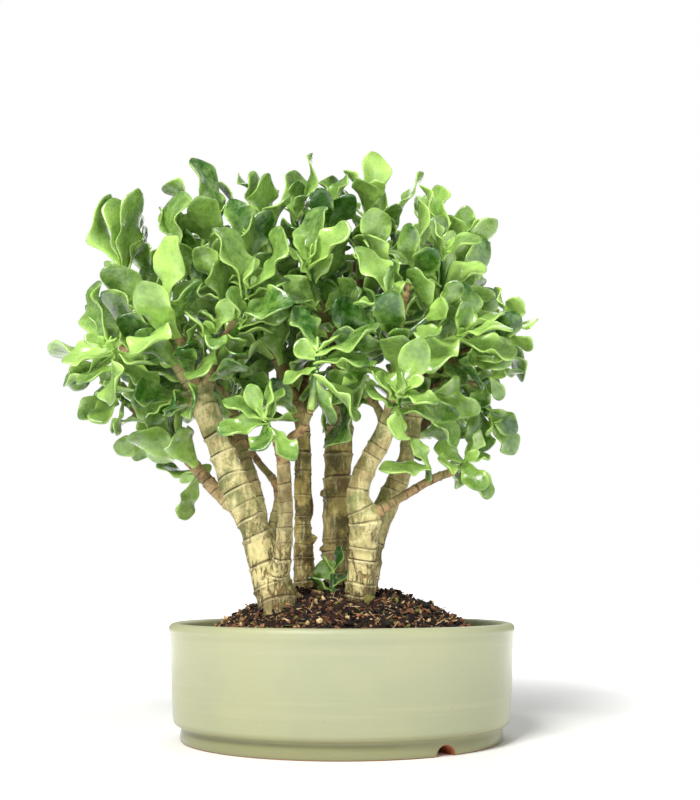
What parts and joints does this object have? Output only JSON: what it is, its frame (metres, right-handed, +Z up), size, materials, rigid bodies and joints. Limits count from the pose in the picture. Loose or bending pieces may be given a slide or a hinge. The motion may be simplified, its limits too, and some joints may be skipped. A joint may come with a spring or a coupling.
{
  "type": "potted jade plant bonsai",
  "caption": "Silver jade plant grown as a bonsai: upright trunks and leafy shoots with waved leaves standing in a mound of soil in a low oval glazed pot.",
  "frame": {"origin": "on the ground plane that the pot's foot stands on, below the middle of the whole plant", "axes": "+Z up, -Y is the front that the picture shows, +X to the right seen from the front; the pot's long axis runs along X"},
  "size_m": [0.2992, 0.2091, 0.359],
  "materials": {
    "pot_glaze": "pale celadon glaze, semi-gloss",
    "soil": "loose dark peat mix, matt",
    "pale_bark": "smooth pale bark with ring scars",
    "dark_bark": "brown bark with ring scars",
    "leaf": "waxy succulent leaf, satin",
    "young_leaf": "waxy young leaf, satin"
  },
  "bodies": {
    "root": {"trunk_front_left": "pale_bark", "trunk_inner": "dark_bark", "trunk_rear": "dark_bark", "trunk_front_right": "pale_bark", "trunk_right": "pale_bark", "pot": "pot_glaze", "soil": "soil", "shoot_left_top": "leaf", "shoot_left_hero": "leaf", "shoot_left_rosette": "leaf", "shoot_left_low": "leaf", "shoot_left_hanging": "leaf", "shoot_lone_hanging": "leaf", "shoot_top_left_fan": "leaf", "shoot_top_left_arch": "leaf", "shoot_top_fold": "leaf", "shoot_top_oval": "leaf", "shoot_front_fork": "leaf", "shoot_left_inner": "leaf", "shoot_left_behind": "leaf", "shoot_centre_top": "leaf", "shoot_centre_dark": "leaf", "shoot_top_hero": "leaf", "shoot_centre_pale": "leaf", "shoot_front_upper": "leaf", "shoot_right_crest": "leaf", "shoot_long_curl": "leaf", "shoot_right_arch": "leaf", "shoot_right_upright": "leaf", "shoot_right_bright": "leaf", "shoot_right_middle": "leaf", "shoot_right_rosette": "leaf", "shoot_right_end": "leaf", "shoot_right_shade": "leaf", "shoot_right_outer": "leaf", "shoot_front_rosette": "leaf", "shoot_right_layers": "leaf", "shoot_right_pair": "leaf", "shoot_branch_end": "leaf", "shoot_branch_side": "leaf", "shoot_front_shoot": "leaf", "shoot_front_low": "leaf", "shoot_torn": "leaf", "shoot_centre_left": "leaf", "shoot_left_curved": "leaf", "shoot_centre_broad": "leaf", "shoot_centre_round": "leaf", "shoot_rear_left_top": "leaf", "shoot_rear_left": "leaf", "shoot_rear_left_high": "leaf", "shoot_rear_left_middle": "leaf", "shoot_rear_top_left": "leaf", "shoot_rear_centre_left": "leaf", "shoot_rear_top": "leaf", "shoot_rear_top_right": "leaf", "shoot_rear_centre": "leaf", "shoot_rear_right_high": "leaf", "shoot_rear_right": "leaf", "shoot_rear_right_low": "leaf", "sprout": "young_leaf"}
  },
  "joints": []
}
